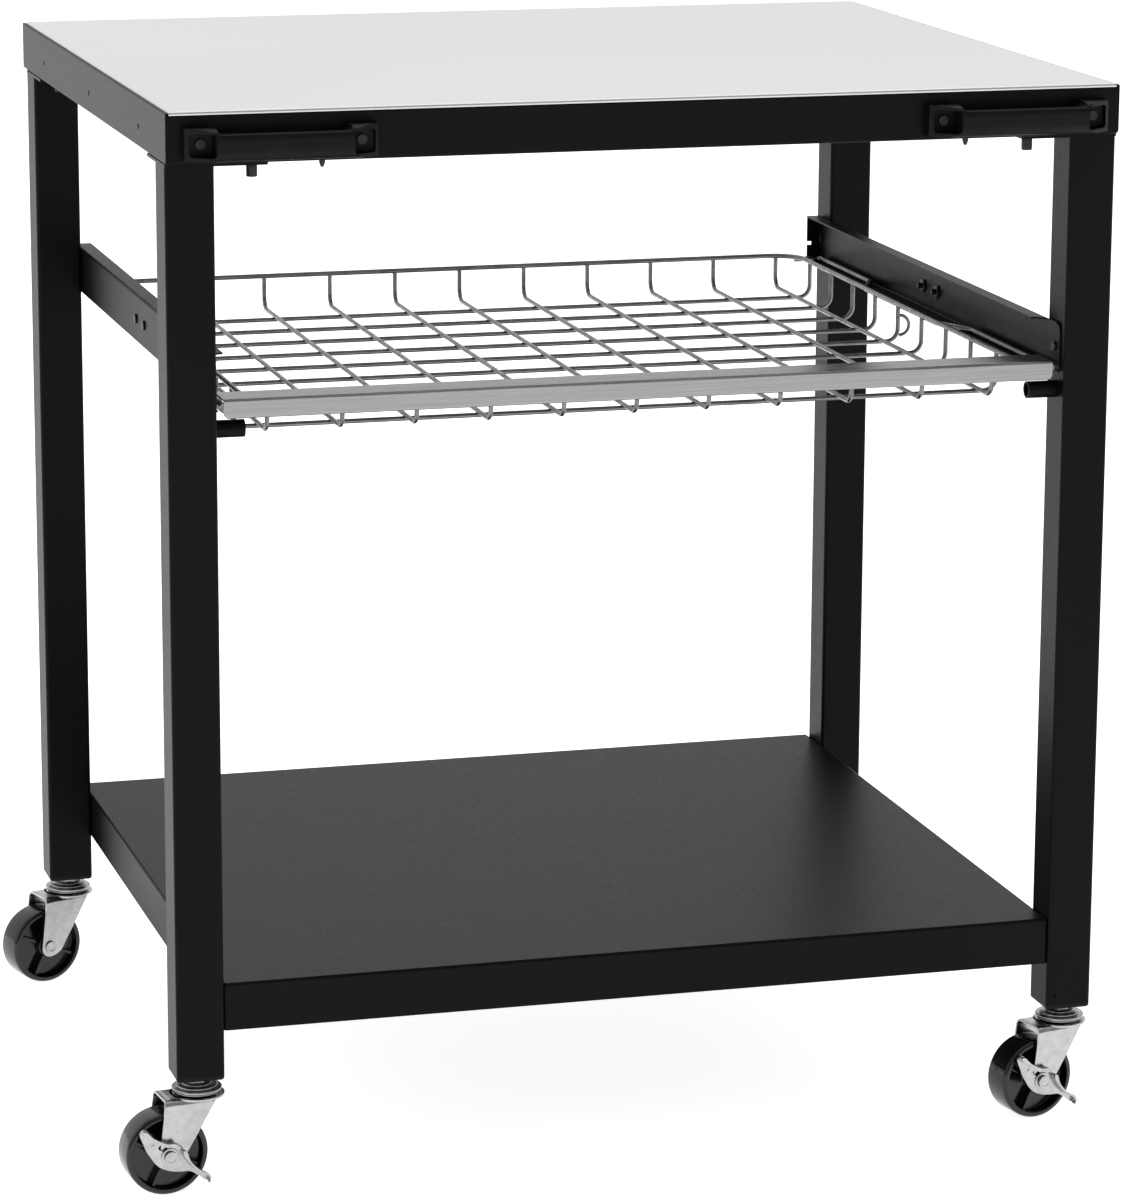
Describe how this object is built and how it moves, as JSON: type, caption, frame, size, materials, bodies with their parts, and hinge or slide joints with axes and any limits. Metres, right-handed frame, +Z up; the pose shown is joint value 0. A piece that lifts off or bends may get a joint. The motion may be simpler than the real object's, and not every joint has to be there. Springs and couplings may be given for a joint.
{
  "type": "wheeled work table",
  "caption": "Square-legged black cart on swivel casters with a stainless worktop, bow handles, a sliding wire basket and a bottom shelf.",
  "frame": {"origin": "centre of the worktop, on its top face", "axes": "+X to the right, -Y to the front where the handles are, +Z up"},
  "size_m": [0.8484, 0.6945, 0.895],
  "materials": {
    "black_frame": "satin powder coat",
    "worktop_steel": "smooth satin stainless",
    "stiffener_steel": "galvanised",
    "basket_wire": "satin plated wire",
    "bar_steel": "brushed",
    "handle_plastic": "textured",
    "black_fasteners": "black oxide",
    "zinc_fasteners": "zinc plated",
    "socket_plastic": "matte",
    "caster_zinc": "bright zinc plate",
    "wheel_black": "glossy"
  },
  "bodies": {
    "frame": {"apron_front": "black_frame", "apron_back": "black_frame", "apron_left": "black_frame", "apron_right": "black_frame", "leg_plates": "black_frame", "side_rail_left": "black_frame", "side_rail_right": "black_frame", "bottom_shelf": "black_frame", "rest_peg_left": "black_frame", "rest_peg_right": "black_frame", "leg_front_left": "black_frame", "leg_front_right": "black_frame", "leg_back_left": "black_frame", "leg_back_right": "black_frame", "top_plate": "worktop_steel", "top_stiffener": "stiffener_steel", "handle_left": "handle_plastic", "handle_right": "handle_plastic", "corner_bolts": "black_fasteners", "flange_screws": "black_fasteners", "handle_screws": "black_fasteners", "rail_end_screws": "black_fasteners", "rail_bolts": "zinc_fasteners", "shelf_screws": "zinc_fasteners", "caster_lock_nuts": "zinc_fasteners", "caster_sockets": "socket_plastic", "caster_front_left_stem_cup": "caster_zinc", "caster_front_right_stem_cup": "caster_zinc", "caster_back_left_stem_cup": "caster_zinc", "caster_back_right_stem_cup": "caster_zinc"},
    "basket": {"basket_rim": "basket_wire", "basket_lengthwise_wires": "basket_wire", "basket_crosswise_wires": "basket_wire", "runner_left": "basket_wire", "runner_right": "basket_wire", "basket_loops": "basket_wire", "basket_front_bar": "bar_steel"},
    "fork_front_left": {"caster_front_left_fork": "caster_zinc", "caster_front_left_axle": "caster_zinc"},
    "wheel_front_left": {"caster_front_left_wheel": "wheel_black"},
    "brake_front_left": {"brake_lever_front_left": "caster_zinc"},
    "fork_front_right": {"caster_front_right_fork": "caster_zinc", "caster_front_right_axle": "caster_zinc"},
    "wheel_front_right": {"caster_front_right_wheel": "wheel_black"},
    "brake_front_right": {"brake_lever_front_right": "caster_zinc"},
    "fork_back_left": {"caster_back_left_fork": "caster_zinc", "caster_back_left_axle": "caster_zinc"},
    "wheel_back_left": {"caster_back_left_wheel": "wheel_black"},
    "fork_back_right": {"caster_back_right_fork": "caster_zinc", "caster_back_right_axle": "caster_zinc"},
    "wheel_back_right": {"caster_back_right_wheel": "wheel_black"}
  },
  "joints": [
    {"name": "basket_slide", "type": "slide", "parent": "frame", "child": "basket", "axis": [0, -1, 0], "range_m": [0, 0.3]},
    {"name": "swivel_front_left", "type": "hinge", "parent": "frame", "child": "fork_front_left", "pos_m": [-0.38, -0.309, -0.814], "axis": [0, 0, 1], "continuous": true},
    {"name": "wheel_spin_front_left", "type": "hinge", "parent": "fork_front_left", "child": "wheel_front_left", "pos_m": [-0.40934, -0.31208, -0.86], "axis": [-0.1045, 0.9945, 0], "continuous": true},
    {"name": "brake_front_left", "type": "hinge", "parent": "fork_front_left", "child": "brake_front_left", "pos_m": [-0.40934, -0.31208, -0.86], "axis": [-0.1045, 0.9945, 0], "range_deg": [-30, 0]},
    {"name": "swivel_front_right", "type": "hinge", "parent": "frame", "child": "fork_front_right", "pos_m": [0.38, -0.309, -0.814], "axis": [0, 0, 1], "continuous": true},
    {"name": "wheel_spin_front_right", "type": "hinge", "parent": "fork_front_right", "child": "wheel_front_right", "pos_m": [0.35126, -0.31564, -0.86], "axis": [-0.225, 0.9744, 0], "continuous": true},
    {"name": "brake_front_right", "type": "hinge", "parent": "fork_front_right", "child": "brake_front_right", "pos_m": [0.35126, -0.31564, -0.86], "axis": [-0.225, 0.9744, 0], "range_deg": [-30, 0]},
    {"name": "swivel_back_left", "type": "hinge", "parent": "frame", "child": "fork_back_left", "pos_m": [-0.38, 0.297, -0.814], "axis": [0, 0, 1], "continuous": true},
    {"name": "wheel_spin_back_left", "type": "hinge", "parent": "fork_back_left", "child": "wheel_back_left", "pos_m": [-0.40789, 0.2874, -0.86], "axis": [-0.3256, 0.9455, 0], "continuous": true},
    {"name": "swivel_back_right", "type": "hinge", "parent": "frame", "child": "fork_back_right", "pos_m": [0.38, 0.297, -0.814], "axis": [0, 0, 1], "continuous": true},
    {"name": "wheel_spin_back_right", "type": "hinge", "parent": "fork_back_right", "child": "wheel_back_right", "pos_m": [0.35095, 0.29188, -0.86], "axis": [-0.1736, 0.9848, 0], "continuous": true}
  ]
}
